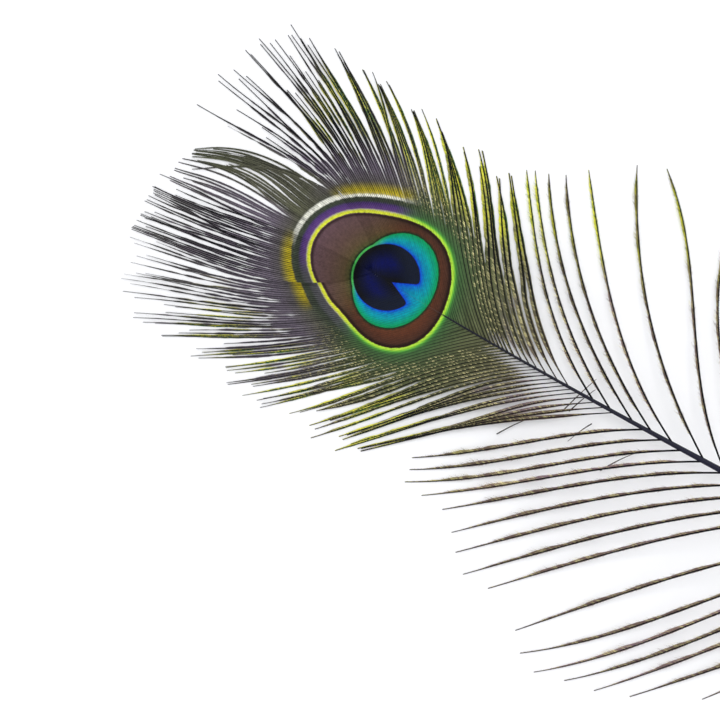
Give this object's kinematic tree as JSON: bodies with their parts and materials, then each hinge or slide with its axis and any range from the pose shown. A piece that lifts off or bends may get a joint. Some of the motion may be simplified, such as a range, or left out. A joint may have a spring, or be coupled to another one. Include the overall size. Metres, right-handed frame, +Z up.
{
  "type": "peacock feather",
  "caption": "Peacock eye feather lying face up: a thin arched shaft with zipped locks of barbs fanning from the eye and single loose barbs along both sides.",
  "frame": {"origin": "middle of the box around the feather, on the surface that it lies on", "axes": "+X along the shaft towards the quill, tip at -X; +Z up, off the bright face; +Y to the right-hand side seen from above with the tip pointing away"},
  "size_m": [0.2992, 0.1334, 0.0094],
  "materials": {
    "shaft": "smooth dark blue-black horn (keratin), paler and clearer at the quill",
    "eye_vane": "iridescent zipped barbs: blue-black pupil, blue-green ring, bronze disc, yellow-green ring, grey-violet fringe",
    "olive_vane": "olive and gold flecked iridescent barbs",
    "loose_barb": "dark fuzzy barbs with bronze and olive flecks"
  },
  "bodies": {
    "root": {"shaft": "shaft", "right_lock_01": "eye_vane", "right_lock_02": "eye_vane", "right_lock_03": "eye_vane", "right_lock_04": "eye_vane", "right_lock_05": "eye_vane", "right_lock_06": "eye_vane", "right_lock_07": "eye_vane", "right_lock_08": "eye_vane", "right_lock_09": "olive_vane", "right_lock_10": "olive_vane", "left_lock_01": "eye_vane", "left_lock_02": "eye_vane", "left_lock_03": "eye_vane", "left_lock_04": "eye_vane", "left_lock_05": "eye_vane", "left_lock_06": "eye_vane", "left_lock_07": "olive_vane", "left_lock_08": "olive_vane", "left_lock_09": "olive_vane", "right_barb_01": "loose_barb", "right_barb_02": "loose_barb", "right_barb_03": "loose_barb", "right_barb_04": "loose_barb", "right_barb_05": "loose_barb", "right_barb_06": "loose_barb", "right_barb_07": "loose_barb", "right_barb_08": "loose_barb", "right_barb_09": "loose_barb", "right_barb_10": "loose_barb", "right_barb_11": "loose_barb", "right_barb_12": "loose_barb", "right_barb_13": "loose_barb", "right_barb_14": "loose_barb", "right_barb_15": "loose_barb", "right_barb_16": "loose_barb", "right_barb_17": "loose_barb", "right_barb_18": "loose_barb", "right_barb_19": "loose_barb", "left_barb_01": "loose_barb", "left_barb_02": "loose_barb", "left_barb_03": "loose_barb", "left_barb_04": "loose_barb", "left_barb_05": "loose_barb", "left_barb_06": "loose_barb", "left_barb_07": "loose_barb", "left_barb_08": "loose_barb", "left_barb_09": "loose_barb", "left_barb_10": "loose_barb", "left_barb_11": "loose_barb", "left_barb_12": "loose_barb", "left_barb_13": "loose_barb", "left_barb_14": "loose_barb", "left_barb_15": "loose_barb", "left_barb_16": "loose_barb", "left_barb_17": "loose_barb", "left_barb_18": "loose_barb", "left_barb_19": "loose_barb", "left_barb_20": "loose_barb"}
  },
  "joints": []
}
